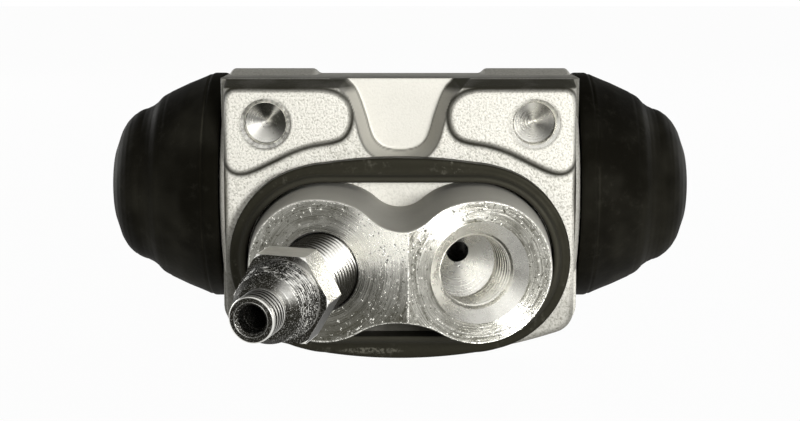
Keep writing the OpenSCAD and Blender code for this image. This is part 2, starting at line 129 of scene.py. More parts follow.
def new_finish(name, metallic, roughness, specular=0.5, tint=(1, 1, 1)):
    """A material whose constants sit on the shader, with its Object coordinates and a way to feed its sockets."""
    material = bpy.data.materials.new(name)
    material.use_nodes = True
    tree = material.node_tree
    shader = tree.nodes["Principled BSDF"]
    shader.inputs["Metallic"].default_value = metallic
    shader.inputs["Roughness"].default_value = roughness
    shader.inputs["Specular IOR Level"].default_value = specular
    shader.inputs["Specular Tint"].default_value = (*tint, 1)
    place = Value(tree, tree.nodes.new("ShaderNodeTexCoord").outputs["Object"])

    def feed(colour, rough, height=None, depth=0.03):
        """Colour, roughness and a height of 0 to 1 that stands for depth in millimetres."""
        tree.links.new(colour.socket, shader.inputs["Base Color"])
        tree.links.new(rough.socket, shader.inputs["Roughness"])
        if height:
            bump = height.node("Bump", {}, {"Strength": 1.0, "Distance": depth * MM, "Height": height})
            tree.links.new(bump.socket, shader.inputs["Normal"])

    return material, place, feed


def attribute(place, name):
    """The shading value of that name, which a piece carries on its points."""
    return place.node("Attribute", {"attribute_name": name}, {}, 2)


bore_depth, bore_z = 18.0, -10.5
cast_metal, place, feed = new_finish("cast_aluminium", 0.3, 0.5, 0.4)
soil, sand = attribute(place, "soil"), attribute(place, "sand")
grain, cloud = place.noise(3300, 3, 0.65), place.noise(160, 3)
pale = 1 - sand * (1 - grain.step(0.3, 0.56))
bright = pale.colour((0.46, 0.445, 0.38), (0.83, 0.81, 0.735))
# The darkening attribute holds a little grime and mostly painted shade: in corners and creases, on the top, on the left
# and under the boss. Cloudy noise makes it uneven.
grimed_and_shaded = (soil * (0.8 + 0.4 * cloud)).colour(bright, (0.028, 0.026, 0.015))
pins = [place.from_axis((pin_x, 0, bore_z), (0, 1, 0)) for pin_x in (-13, 13)]
on_back = place.part(1).step(0.02, 0.021)
pin_rings = sum(pin.step(2.3, 2.4) * (1 - pin.step(2.6, 2.7)) for pin in pins) * on_back
feed(grimed_and_shaded, 0.42 + 0.15 * cloud + 0.2 * soil, sand * (grain + place.noise(1500, 2) * 0.5) - pin_rings * 0.8, 0.1)


def ease(low, high, x):
    """0 below low, 1 above high, and 3t^2 - 2t^3 between them."""
    t = np.clip((x - low) / (high - low), 0, 1)
    return t * t * (3 - 2 * t)


def hump(x, middle, width):
    """A bell of height 1: e to the minus square of the distance from its middle, in widths."""
    return np.exp(-((x - middle) / width) ** 2)


def soft_max(a, b, width):
    """The larger of two heights, with the corner between them filled over width."""
    return np.maximum(a, b) + np.maximum(width - np.abs(a - b), 0) ** 2 / (4 * width)


def smooth_loop(points, count):
    """A closed Catmull-Rom curve: on each span the cubic whose end slopes are half the chord between the neighbours."""
    p = np.asarray(points, float)
    s = np.arange(count) * len(p) / count
    i = s.astype(int)
    t = (s - i)[:, None]
    a, b, c, d = (p[(i + k) % len(p)] for k in (-1, 0, 1, 2))
    return b + 0.5 * t * (c - a + t * (2 * a - 5 * b + 4 * c - d + t * (3 * (b - c) + d - a)))


def loop_distance(loop, x, z):
    """Signed distance to a closed loop: the nearest of its straight edges, negative where a ray crosses it oddly."""
    px, pz = x.ravel()[:, None], z.ravel()[:, None]
    ax, az = loop.T
    ex, ez = np.roll(ax, -1) - ax, np.roll(az, -1) - az
    t = np.clip(((px - ax) * ex + (pz - az) * ez) / (ex ** 2 + ez ** 2), 0, 1)
    near = np.sqrt(np.min((px - ax - t * ex) ** 2 + (pz - az - t * ez) ** 2, axis=1))
    steps = ((az > pz) != (az + ez > pz)) & (px < ax + (pz - az) * ex / np.where(ez == 0, 1e-9, ez))
    return np.where(steps.sum(axis=1) % 2 == 1, -near, near).reshape(x.shape)


def grid_faces(rows, columns, closed=False, flip=False):
    """Quads of a grid of rows by columns, whose normal is column direction times row direction, or its opposite."""
    i = np.arange(rows - 1)[:, None] * columns
    j = np.arange(columns if closed else columns - 1)
    k = (j + 1) % columns
    quads = np.stack([i + j, i + k, i + columns + k, i + columns + j], axis=-1).reshape(-1, 4)
    return quads[:, ::-1] if flip else quads


def punch(points, quads, centre, direction, radius):
    """A round hole: cells whose middle is nearer to the axis than radius go, and the rim moves onto the circle."""
    n = np.asarray(direction, float) / np.linalg.norm(direction)
    way = points - centre
    across = way - (way @ n)[:, None] * n
    r = np.linalg.norm(across, axis=1)
    gone = r[quads].mean(axis=1) < radius
    rim = np.intersect1d(quads[gone], quads[~gone])
    points[rim] += across[rim] * (radius / r[rim] - 1)[:, None]
    return quads[~gone]


def put_piece(name, points, quads, finish, body="cylinder", slot="cast_aluminium", crease=35, **shades):
    """Makes a mesh from points in millimetres and quads, with its shading values, and hangs it on a body, if any."""
    smallest = 1e-7
    edges = points[np.roll(quads, -1, axis=1)] - points[quads]
    area = np.linalg.norm(np.cross(edges[:, 0], edges[:, 1]) + np.cross(edges[:, 2], edges[:, 3]), axis=1)
    mesh = bpy.data.meshes.new(name)
    mesh.from_pydata((points * MM).tolist(), [], quads[area > smallest].tolist())
    for key, value in shades.items():
        mesh.attributes.new(key, "FLOAT", "POINT").data.foreach_set("value", np.ravel(value).astype(np.float32))
    mesh.materials.append(finish)
    mesh.shade_smooth()
    mesh.set_sharp_from_angle(angle=np.radians(crease))
    piece = bpy.data.objects.new(name, mesh)
    bpy.context.scene.collection.objects.link(piece)
    if body:
        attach(piece, body)
    return piece


face_half, top, pad_top, bevel_z, floor_depth = 24.3, 5.9, 4.7, 4.1, 5.5
foot_r, foot_z = 70, 36.96
corner_x, corner_z, corner_r, corner_from = 21.1, -26.42, 3.2, 22.11
edge_r, edge_back = 0.9, 5.2
hole_x, hole_r = 18.5, 3.4
u = np.linspace(-1, 1, 381)
x = face_half * (0.5 * u + 0.5 * np.sin(np.pi * u / 2))
side = np.abs(x)
corner = corner_z - np.sqrt(np.maximum(corner_r ** 2 - np.maximum(side - corner_x, 0) ** 2, 0))
foot = np.where(side < corner_from, foot_z - np.sqrt(foot_r ** 2 - side ** 2), corner)
low_rows, top_rows = np.linspace(0, 1, 180)[:, None], np.linspace(0, 1, 23)[1:, None]
z = np.vstack([foot + (bevel_z - foot) * low_rows, bevel_z + (top - bevel_z) * top_rows + 0 * foot])
x = np.broadcast_to(x, z.shape).copy()
pad = smooth_loop([(22.4, 4.7), (18, 4.7), (13, 4.7), (10.2, 4.6), (8.3, 3.95), (7.0, 2.65), (6.65, 1.0), (6.95, -0.7),
                   (7.8, -1.95), (9.3, -2.6), (12.3, -3.15), (15, -4.05), (17.8, -5.4), (20.3, -6.55), (21.9, -6.95),
                   (23.2, -6.65), (24.1, -5.6), (24.3, -4), (24.3, -1), (24.3, 1.8), (24.05, 3.5), (23.4, 4.4)], 110)
half_floor = [(9.0, 8.5), (7.3, 5.85), (6.36, 4.8), (5.6, 3.2), (4.7, 0.6), (4.15, -1.37), (3.6, -2.6), (2.63, -3.55),
              (1.3, -4.0)]
relief = smooth_loop([(0, 10)] + half_floor + [(0, -4.1)] + [(-px, pz) for px, pz in half_floor[::-1]], 130)
rim_loop = np.vstack([np.column_stack([x[0, ::5], foot[::5]]), [(face_half, 12), (-face_half, 12)]])
to_pad = loop_distance(pad, np.abs(x), z)
to_floor = loop_distance(relief, x, z)
to_rim = -loop_distance(rim_loop, x, z)
to_hole = np.hypot(np.abs(x) - hole_x, z)

y = ease(-0.55, 0.35, to_pad)
y = soft_max(y, floor_depth - 1.5 * (to_floor + np.sqrt(to_floor ** 2 + 0.004)), 0.35)
y = soft_max(y, (z - pad_top) * floor_depth / (top - pad_top), 0.7)
edge = np.clip(edge_r - to_rim, 0, edge_r)
y = np.maximum(y, np.minimum(y + edge_r - np.sqrt(edge_r ** 2 - edge ** 2), edge_back))
y[-1] = floor_depth

# Painted shade, with a little grime, darkens the pads' step, the relief's walls and their two edges, the corner under
# the boss, the left rim, the top bevel, the lower strip, the right rim and the lower left margin; the face also darkens
# round the mounting holes.
wall = ease(0.0, 0.15, to_floor) * ease(1.75, 1.55, to_floor)
top_bevel = ease(pad_top - 0.3, pad_top + 0.2, z) * ease(top + 0.1, top - 0.15, z)
# Round the mounting holes the face darkens more towards their lower right, and more round the left hole.
hole_side = 0.2 + 0.65 * ease(-3, 3, x - hole_x * np.sign(x) - z)
face_soil = np.maximum.reduce([
    0.98 * hump(to_pad, 0.12, 0.4) * (y < 1.6) + 0.1 * ease(0.1, -0.1, to_floor),
    wall * (0.24 + 0.24 * ease(-2, 3, x) + 0.62 * ease(3.8, 5.0, z)),
    0.75 * hump(to_floor, 0.05, 0.13) + 0.7 * hump(to_floor, 1.5, 0.2),
    0.95 * ease(10, 8, np.abs(x)) * ease(-22, -24, z) * ease(-32, -31, z),
    0.6 * ease(0.7, 0.1, to_rim) * ease(20, 23, np.abs(x)) * (x < 0),
    0.97 * top_bevel * ease(0.0, 0.4, to_floor),
    ease(-20, -27, z) * (0.3 + 0.3 * ease(1.3, 0.2, to_rim)),
    0.6 * ease(0.55, 0.15, to_rim) * ease(-14, -10, z) * (x > 0),
    0.72 * ease(-20.3, -22.6, x) * ease(-11, -20, z),
    hump(to_hole, 3.5, 0.17) * hole_side * np.where(x < 0, 1, 0.55)])
face_sand = (1 - 0.85 * ease(1.7, 1.4, to_floor)) * (1 - 0.7 * ease(7, 3, np.abs(x)) * ease(-6, -8, z))
front = np.stack([x, y, z], axis=-1).reshape(-1, 3)
front_quads = grid_faces(*z.shape)
for way in (-1, 1):
    front_quads = punch(front, front_quads, (way * hole_x, 0, 0), (0, 1, 0), hole_r)

# The sides of the same casting: the walls run back from the face's edge, step out to the flange plate and end in the
# barrel, and the underside slopes up from the plate's lower edge to the barrel.
plate_back, lowest, under_rise, under_top, under_rows = 9.5, -33.04, 6.14, -26.0, 14
count = np.arange(z.size).reshape(z.shape)
loop = np.concatenate([count[0], count[1:, -1], count[-1, -2::-1], count[-2:0:-1, 0]])
start = front[loop]
at_top = start[:, 2] > top - 1e-6


def spread(level_x):
    """Share of the plate's step that a place takes, towards its own side: 0 near the middle and 1 at the edge."""
    return np.sign(level_x) * ease(15, face_half, np.abs(level_x))


def back_of(level):
    """Depth of the casting's back: the bore's axis, or less where the underside slopes up from the plate's edge."""
    return np.minimum(bore_depth, plate_back + (level - lowest) * (bore_depth - plate_back) / under_rise)


outward = spread(start[:, :1]) * np.array([1.0, 0, 0])
wall_rings = [start]
for depth, out in ((5.0, 0.0), (5.35, 0.1), (5.55, 0.7), (5.9, 0.8)):
    ring = start + outward * out
    ring[:, 1] = np.maximum(ring[:, 1], depth)
    wall_rings.append(ring)
for short, out in ((0.35, 0.8), (0.0, 0.55), (0.0, -1.5)):
    ring = start + outward * out
    ring[:, 1] = np.where(at_top, bore_depth, back_of(start[:, 2])) - short
    wall_rings.append(ring)
skirt = np.vstack(wall_rings)
skirt_quads = grid_faces(len(wall_rings), len(loop), closed=True, flip=True)
rise = np.linspace(0, 1, under_rows)[:, None]
under_x = np.broadcast_to(x[0] + spread(x[0]) * 0.55, (under_rows, x.shape[1]))
under_z = foot + (np.maximum(foot, under_top) + 1.0 - foot) * rise
under = np.stack([under_x, back_of(under_z), under_z], axis=-1).reshape(-1, 3)
under_quads = grid_faces(under_rows, x.shape[1], flip=True)
# Painted shade: the top is dark at the front and lighter towards the barrel, the left side is dark, and the right side
# darkens towards its top.
top_soil = np.array([0.9, 0.9, 0.9, 0.86, 0.84, 0.38, 0.35, 0.35])[:, None]
side_soil = np.where(start[:, 0] < 0, 0.65, 0.12 + 0.7 * ease(-7, -3, start[:, 2]))
skirt_soil = np.where(at_top, top_soil, side_soil)
block_quads = np.vstack([front_quads, skirt_quads + len(front), under_quads + len(front) + len(skirt)])
casting = put_piece("casting_block", np.vstack([front, skirt, under]), block_quads, cast_metal,
                    soil=np.concatenate([face_soil.ravel(), skirt_soil.ravel(), np.full(len(under), 0.15)]),
                    sand=np.concatenate([face_sand.ravel(), np.full(len(skirt) + len(under), 0.8)]))
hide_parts("cylinder_body")

# The barrel: cast in one with the block, with a thicker collar at each end, a turned spigot for each boot and a honed
# bore. The two halves of the die meet along its top and bottom and leave a thin flash line there.


def round_axis(origin, direction, r, s, theta):
    """Points at radius r and distance s along an axis; theta turns from X, or from Z where the axis itself is X."""
    n = np.asarray(direction, float) / np.linalg.norm(direction)
    first = np.array([0, 0, 1.0]) if abs(n[0]) > 0.9 else np.array([1.0, 0, 0])
    a = first - (first @ n) * n
    a /= np.linalg.norm(a)
    b = np.cross(n, a)
    r, s, theta = np.broadcast_arrays(r, s, theta)
    return (np.asarray(origin) + s[..., None] * n + (r * np.cos(theta))[..., None] * a
            + (r * np.sin(theta))[..., None] * b).reshape(-1, 3)


def fine_profile(corners, fillet, spacing):
    """A profile through corners, each rounded by a quadratic curve from fillet before it to fillet after it."""
    p = np.asarray(corners, float)
    track = [p[:1]]
    for a, b, c in zip(p[:-2], p[1:-1], p[2:]):
        back, on = a - b, c - b
        reach_a = min(fillet, np.linalg.norm(back) * 0.45) / np.linalg.norm(back)
        reach_c = min(fillet, np.linalg.norm(on) * 0.45) / np.linalg.norm(on)
        t = np.linspace(0, 1, 5)[:, None]
        track.append((1 - t) ** 2 * (b + back * reach_a) + 2 * t * (1 - t) * b + t ** 2 * (b + on * reach_c))
    track = np.vstack(track + [p[-1:]])
    length = np.concatenate([[0], np.cumsum(np.linalg.norm(np.diff(track, axis=0), axis=1))])
    extra = np.linspace(0, length[-1], max(int(length[-1] / spacing), 2))
    at = np.unique(np.round(np.concatenate([length, extra]), 4))
    return np.column_stack([np.interp(at, length, track[:, 0]), np.interp(at, length, track[:, 1])])


bore_origin, bore_r, barrel_r, flash_wide = (0, bore_depth, bore_z), 11.1, 16.4, 0.02
half_barrel = [(17.1, 12.5), (17.1, 24.4), (16.5, 25.0), (13.7, 25.0), (13.7, 26.05), (13.0, 26.05), (13.0, 27.45),
               (13.7, 27.45), (13.7, 28.1), (13.2, 28.5), (bore_r, 28.5)]
barrel_track = fine_profile([(bore_r, 0)] + [(r, -s) for r, s in half_barrel[::-1]]
                            + [(barrel_r, -11.7), (barrel_r, 11.7)] + half_barrel + [(bore_r, 0)], 0.35, 1.2)
theta = np.linspace(0, 2 * np.pi, 288, endpoint=False)
flash = hump(np.minimum(theta, 2 * np.pi - theta), 0, flash_wide) + hump(theta, np.pi, flash_wide)
r = barrel_track[:, :1] + 0.07 * flash * (barrel_track[:, :1] > 16)
barrel = round_axis(bore_origin, (1, 0, 0), r, barrel_track[:, 1:], theta)
inside_block = (np.abs(barrel[:, 0]) < face_half) & (np.repeat(barrel_track[:, 0], len(theta)) > 12)
barrel[inside_block, 1] = np.maximum(barrel[inside_block, 1], 9.0)
put_piece("casting_barrel", barrel, grid_faces(len(barrel_track), len(theta), closed=True), cast_metal,
          soil=0.35 + 0.1 * (r < 16) + 0.15 * flash * (r > 16), sand=0.7 + 0 * r)

# The figure-eight boss: the casting's two joined halves for the bleed screw and the pipe, with drafted walls. Each half
# is faced off square to its own splayed axis, and the two milled faces meet in a sharp ridge.
boss_x, boss_z, boss_r, boss_base, draft = 10.5, -18.5, 9.5, 1.2, np.tan(np.radians(4.2))
inlet_y, bleed_y, ridge_x, waist_bulge = -12.5, -11.5, 1.052, 0.45
inlet_splay, bleed_splay, lean = np.radians(15), np.radians(17), np.radians(4)
inlet_face, bleed_face = np.array([boss_x, inlet_y, boss_z]), np.array([-boss_x, bleed_y, boss_z])
inlet_axis = np.array([np.sin(inlet_splay), -np.cos(inlet_splay), 0])
bleed_side = np.array([-np.sin(bleed_splay), -np.cos(bleed_splay), 0])
bleed_axis = np.array([bleed_side[0] * np.cos(lean), bleed_side[1] * np.cos(lean), -np.sin(lean)])
upright = np.array([0, 0, 1.0])


def faced(level_x):
    """Depth of the milled faces: the deeper of the two splayed planes at a place across the boss."""
    right = inlet_y + np.tan(inlet_splay) * (level_x - boss_x)
    left = bleed_y - np.tan(bleed_splay) * (level_x + boss_x)
    return np.maximum(left, right)


def arc(centre, radius, first, last, count, hollow=False):
    """Points of an arc from first to last degrees, each with the outward direction of the metal there."""
    a = np.radians(np.linspace(first, last, count, endpoint=False))
    way = np.column_stack([np.cos(a), np.sin(a)])
    return np.hstack([np.asarray(centre) + radius * way, -way if hollow else way])


outline = np.vstack([arc((boss_x, 0), boss_r, -121.88, 131.71, 200), arc((0, 11.78), 6.28, -48.29, -131.71, 60, True),
                     arc((-boss_x, 0), boss_r, 48.29, 301.88, 200), arc((0, -16.875), 10.375, 121.88, 58.12, 60, True)])
waist = ease(10.5, 4.5, np.abs(outline[:, 0])) * (outline[:, 1] > 3)
outline[:, :2] += waist_bulge * waist[:, None] * outline[:, 2:]


def boss_ring(share, inset=0.0, sink=0.0):
    """The outline at a share of the way from the milled edge down to the face: grown by the draft, less inset."""
    depth = faced(outline[:, 0])
    for _ in range(4):
        level = depth + (boss_base - depth) * share + sink
        out = draft * (level - inlet_y) - inset
        ring_x = outline[:, 0] + outline[:, 2] * out
        depth = faced(ring_x)
    level = depth + (boss_base - depth) * share + sink
    return np.column_stack([ring_x, level, boss_z + outline[:, 1] + outline[:, 3] * out])


shares = np.concatenate([np.linspace(1, 0.04, 30), [0.012]])
boss_rings = [boss_ring(s) for s in shares] + [boss_ring(0, 0.13), boss_ring(0, 0.8, 0.03)]
# Painted shade on the boss's walls: darker towards their foot, more on the left, and dark where they face down.
boss_soil = np.repeat(np.concatenate([0.52 - 0.14 * (1 - shares), [0.1, 0.1]]), len(outline))
boss_soil += 0.22 * np.tile(ease(-13, -19, outline[:, 0]), len(boss_rings))
boss_soil = np.maximum(boss_soil, 0.95 * np.tile(ease(0.1, -0.5, outline[:, 3]), len(boss_rings)))
put_piece("boss_walls", np.vstack(boss_rings), grid_faces(len(boss_rings), len(outline), closed=True), cast_metal,
          soil=boss_soil, sand=np.full(len(boss_soil), 0.12))

milled, place, feed = new_finish("milled_aluminium", 0.8, 0.3)
on_right = place.part(0).step(0.001045, 0.00106)


def rings_and_highlight_fan(centre, axis, highlight_fan):
    """Distance from a face's axis, how near a place lies to the line at the given angle in degrees (cosine squared),
    where a painted highlight fan falls, and its side.
    """
    line = np.cos(np.radians(highlight_fan)) * np.cross(axis, upright) * -1 + np.sin(np.radians(highlight_fan)) * upright
    along = place.vector("SUBTRACT", centre * MM).vector("DOT_PRODUCT", line, 1) * TO_MM
    radius = place.from_axis(centre, axis)
    return radius, along * along / (radius * radius), along.step(-0.5, 0.5)


# Painted highlight: each milled face gets a bright fan along a line through its axis, on the left face on one side
# only.
right_radius, right_highlight_fan, _ = rings_and_highlight_fan(inlet_face, inlet_axis, 126)
left_radius, left_highlight_fan, left_side = rings_and_highlight_fan(bleed_face, bleed_side, 30)
radius = left_radius + on_right * (right_radius - left_radius)
highlight_fan = 2.3 * left_highlight_fan ** 6 * left_side * (1 - on_right) + 0.9 * right_highlight_fan ** 18 * on_right
waver = place.noise(150, 2) * 0.9
ring_place = place.node("CombineXYZ", {}, {0: radius + waver, 1: on_right * 9 + place.noise(220, 2) * 0.5})
coarse, fine = ring_place.noise(1.7, 3, 0.65), ring_place.noise(6.5, 3, 0.7)
torn = place.noise(2100, 3, 0.75)
skin = 0.035 * radius.step(7.4, 8.8)
# Painted glints: white specks, more of them towards the face's outer edge.
pits, painted_glints = (torn + skin).step(0.6, 0.7), 1 - (torn - skin).step(0.3, 0.38)
blotch = place.noise(240, 3, 0.6)
rings = coarse.step(0.36, 0.64) * 0.33 + fine.step(0.38, 0.62) * 0.42 + blotch.step(0.3, 0.7) * 0.25
# Painted shade: the left face is darker below the screw.
below = (1 - (place.part(2) * TO_MM - boss_z).step(-7.5, -1.5)) * (1 - on_right)
rings = rings * (1 - 0.62 * below)
# Painted highlight: bright burrs along the milled edge.
rim_highlight = attribute(place, "rim") * torn.step(0.4, 0.55)
shade = ((rings * (0.38 + 0.01 * on_right) + highlight_fan * (0.35 + 0.7 * fine)) * (1 - 0.9 * pits)).most(rim_highlight)
feed(shade.most(painted_glints).colour((0.05, 0.0475, 0.031), (0.94, 0.925, 0.85)), 0.2 + 0.12 * fine + 0.2 * pits,
     coarse * 0.5 + fine * 0.4 - pits * 0.2 + painted_glints * 0.2, 0.11)


def milled_face(name, centre, axis, right, inner):
    """A milled face from its hole out to the boss's edge and the ridge, on rays from the hole's axis."""
    rays, steps, ridge_steps = 480, 24, 120
    edge = boss_ring(0, 0.12)
    own = edge[edge[:, 0] > ridge_x] if right else edge[edge[:, 0] < ridge_x]
    near = edge[np.argsort(np.abs(edge[:, 0] - ridge_x))[:12]]
    high, low = near[near[:, 2] > boss_z][0, 2], near[near[:, 2] < boss_z][0, 2]
    ridge = np.column_stack([np.full(ridge_steps, ridge_x), np.full(ridge_steps, faced(ridge_x)),
                             np.linspace(low, high, ridge_steps)])
    own = np.vstack([own, ridge])
    a = np.cross(upright, axis)
    a *= -1 if a[0] < 0 else 1
    way = own - centre
    turn, reach = np.arctan2(way[:, 2], way @ a), np.hypot(way[:, 2], way @ a)
    order = np.argsort(turn)
    theta = np.linspace(-np.pi, np.pi, rays, endpoint=False)
    outer = np.interp(theta, turn[order], reach[order], period=2 * np.pi)
    r = outer + (inner - outer) * np.linspace(0, 1, steps)[:, None] ** 1.6
    points = centre + (r * np.cos(theta))[..., None] * a + (r * np.sin(theta))[..., None] * upright
    put_piece(name, points.reshape(-1, 3), grid_faces(steps, rays, closed=True), milled, rim=hump(outer, r, 0.16))


sink_r, bleed_mouth_r = 6.75, 5.35
milled_face("inlet_milled_face", inlet_face, inlet_axis, True, sink_r)
milled_face("bleed_milled_face", bleed_face, bleed_side, False, bleed_mouth_r)

# The holes in the casting: two blind holes for the backplate's screws, the tapped inlet with its countersink, drill
# point and passage to the bore, and the mouth of the bleed screw's hole. Drills and taps leave them bright.
drilled, place, feed = new_finish("drilled_aluminium", 0.9, 0.25)
wear, lathe = place.noise(420, 3), place.noise(2600, 2, 0.6)
bare = wear.step(0.25, 0.75).colour((0.86, 0.845, 0.78), (0.99, 0.975, 0.91))
# The shadow attribute is painted shade in the colour: dark hollows, thread roots and rims, lightened by painted
# highlight fans.
feed(attribute(place, "shadow").colour(bare, (0.012, 0.0115, 0.008)), 0.18 + 0.1 * lathe + 0.1 * wear, lathe, 0.02)


def turned(name, origin, axis, track, columns, ripple=None, **shades):
    """A drilled hole: a profile of radius and distance turned about an axis; ripple adds to the radius."""
    theta = np.linspace(0, 2 * np.pi, columns, endpoint=False)
    r, s = track[:, :1], track[:, 1:]
    r = r + (ripple(r, s, theta) if ripple else 0 * theta)
    values = {key: np.broadcast_to(rule(r, s, theta), r.shape) for key, rule in shades.items()}
    quads = grid_faces(len(track), columns, closed=True)
    put_piece(name, round_axis(origin, axis, r, s, theta), quads, drilled, **values)


def fans(theta, *lines):
    """Painted highlight round a drilled cone: a bell in the angle for each line of its middle, half width and height.
    """
    turn = np.degrees(theta)
    return sum(high * hump((turn - at + 180) % 360 - 180, 0, wide) for at, wide, high in lines)


def drill_marks(r):
    """Height of the rings that a drill's lips leave: two sines of the radius whose beats keep them uneven."""
    return 0.007 * np.sin(2 * np.pi * r / 0.19) + 0.006 * np.sin(2 * np.pi * r / 0.31 + 1)


def wall_marks(r, s, theta):
    """Faint rings on the wall of a mounting hole: a sine of the depth."""
    return 0.02 * np.sin(14 * s) * (s < -0.7) * (r > 2.7) * np.ones_like(theta)


def hole_shade(r, s, theta, rim_darkening, lit):
    """Darkness in a mounting hole: uneven darkening on its rim, strongest towards the right, and below the rim painted
    shade that painted highlight fans and a painted highlight at the tip lighten.
    """
    uneven = 0.8 * np.sin(9 * theta + 2) * np.sin(17 * theta) + fans(theta, (335, 60, 1.0), (75, 30, 0.5))
    deep = ease(-0.5, -1.0, s) * (1 - np.minimum(fans(theta, *lit), 1)) * (1 - 0.85 * hump(r, 0, 0.5))
    return np.where(r > 2.9, rim_darkening * (1 + uneven), 0.97 * deep)


hole_track = fine_profile([(3.44, 0.0), (hole_r, -0.06), (3.02, -0.4), (2.85, -0.6), (2.85, -2.6), (0.02, -4.3)],
                          0.1, 0.045)
hole_track[:, 1] += drill_marks(hole_track[:, 0]) * ease(-2.7, -2.9, hole_track[:, 1])
for label, way, rim_darkening, lit in (
        ("left", -1, 0.3, ((205, 34, 1.0), (268, 40, 0.72), (142, 16, 0.7), (52, 9, 0.6))),
        ("right", 1, 0.08, ((178, 40, 1.0), (92, 30, 0.85), (258, 48, 0.85), (20, 32, 0.35)))):
    turned(label + "_mounting_hole", (way * hole_x, 0, 0), (0, -1, 0), hole_track, 128, ripple=wall_marks,
           shadow=lambda r, s, theta: hole_shade(r, s, theta, rim_darkening, lit))


def thread(s, theta, pitch, depth):
    """Height of a thread: a rounded saw of s and theta that climbs one pitch in each turn."""
    phase = (s / pitch - theta / (2 * np.pi)) % 1.0
    return depth * ease(0.08, 0.92, 1 - np.abs(2 * phase - 1))


tap_r, tap_depth, tap_pitch, duct_r = 4.9, 0.3, 1.0, 1.5
port_track = fine_profile([(6.79, 0.0), (sink_r, -0.02), (5.13, -1.62), (5.05, -1.75), (tap_r, -2.0), (tap_r, -8.9),
                           (0.02, -11.6)], 0.06, 0.055)
port_track[:, 1] += drill_marks(port_track[:, 0]) * ease(-9.0, -9.2, port_track[:, 1])
theta = np.linspace(0, 2 * np.pi, 200, endpoint=False)
r, s = port_track[:, :1], port_track[:, 1:]
tapped = ease(-2.0, -2.5, s) * (1 - ease(-7.9, -8.4, s))
r = r - thread(s, theta, tap_pitch, tap_depth) * tapped
port = round_axis(inlet_face, inlet_axis, r, s, theta)
duct_start, duct_end = np.array([7.7, -4.0, -16.85]), np.array([2.6, bore_depth, bore_z])
port_quads = grid_faces(len(port_track), len(theta), closed=True)
port_quads = punch(port, port_quads, duct_start, duct_end - duct_start, duct_r)
crest = (tap_r - r) / tap_depth * tapped
cone = ease(-8.7, -9.0, s)
mouth = ease(-1.6, -1.7, s) * ease(-2.2, -2.05, s)
# Painted shade in the port: dark thread roots and a dark mouth line on the right of the wall, and shade on the sink and
# the cone except in painted highlight fans.
lined = np.minimum(fans(theta, (25, 48, 1.4)), 1)
sink_fan = 1 - fans(theta, (310, 20, 1.6), (190, 40, 0.6), (130, 25, 0.5), (255, 30, 0.4)) + fans(theta, (25, 42, 0.45))
cone_fan = 1 - fans(theta, (318, 30, 1.7), (80, 22, 0.6), (240, 40, 0.7)) + fans(theta, (25, 30, 0.4))
port_shadow = (tapped * lined * (0.25 + 0.72 * ease(0.85, 0.68, crest)) + 0.9 * mouth * lined
               + 0.42 * (s > -1.65) * sink_fan + 0.45 * cone * cone_fan)
put_piece("inlet_port", port, port_quads, drilled, shadow=np.clip(port_shadow, 0, 1))
turned("inlet_passage", duct_start, duct_end - duct_start, np.array([[duct_r, -0.6], [duct_r, 3.0], [1.35, 9.0]]), 48,
       shadow=lambda r, s, theta: 1 + 0 * theta)
bleed_track = fine_profile([(5.39, 0.0), (bleed_mouth_r, -0.02), (5.15, -0.3), (5.15, -3.5)], 0.05, 0.3)
turned("bleed_hole", bleed_face, bleed_side, bleed_track, 128,
       shadow=lambda r, s, theta: 0.8 * ease(-0.4, -1.6, s) + 0 * theta)

# The backplate seal: a moulded rubber ring that lies on the casting's face round the boss, with a lip on its inner edge
# that the backplate's hole squeezes. Its skin is dull, and scuffed where it was pushed over the boss.
seal_rubber, place, feed = new_finish("seal_rubber", 0.0, 0.5, 0.2, (1, 0.95, 0.7))
dust = place.noise(900, 4, 0.7).step(0.52, 0.8) * place.noise(130, 2).step(0.4, 0.65)
near_boss = 1 - place.vector("DISTANCE", (0.0075, -0.0015, -0.0052), 1).step(0.001, 0.0035)
across, up = (place.part(0) * TO_MM + 4) / 5, (place.part(2) * TO_MM + 31.35) / 0.5
# Painted highlight: a grainy bright patch low on the seal's front, left of the middle; it joins the real scuffs near
# the boss.
rubbed_low = (1 - (across * across + up * up).step(0.2, 1.1)) * place.noise(2600, 3, 0.7).step(0.42, 0.62)
scuffs_and_highlight = (place.noise(1500, 3, 0.75).step(0.55, 0.75) * near_boss).most(rubbed_low)
feed((dust * 0.7).most(scuffs_and_highlight).most(attribute(place, "lip") * 0.16).colour((0.009, 0.0083, 0.0055), (0.13, 0.125, 0.1)),
     0.42 + 0.25 * place.noise(300, 2), place.noise(2400, 3) + scuffs_and_highlight, 0.03)
seal_r, lip_share, lip_wide, crown_z, crown_r = 10.64, 0.46, 1.1, -54.66, 68.6
end_columns, straight_columns = 110, 60
one = np.ones(straight_columns)
straight = np.column_stack([np.linspace(boss_x, -boss_x, straight_columns, endpoint=False), one, 0 * one, one])
stretch = np.concatenate([arc((boss_x, 0), 1, -90, 90, end_columns), straight,
                          arc((-boss_x, 0), 1, 90, 270, end_columns), -straight])
seal_way = stretch[:, 2:]
hub = stretch[:, :2] - seal_way
crown = crown_z + np.sqrt(crown_r ** 2 - hub[:, 0] ** 2)
round_end = 12.94 + 0.19 * ease(1.3, 1.6, np.arcsin(np.abs(seal_way[:, 1])))
outer = np.where(np.abs(hub[:, 0]) < boss_x - 1e-6, crown, round_end)
section = fine_profile([(0.0, 0.95), (0.0, -2.5), (0.30, -2.5), (lip_share, -1.8), (1.0, -1.8), (1.0, 0.95)], 0.22, 0.2)
share, level = section[:, :1], section[:, 1:]
flange = lip_wide + (share - lip_share) / (1 - lip_share) * (outer - seal_r - lip_wide)
reach = seal_r + np.where(share < lip_share, share / lip_share * lip_wide, flange)
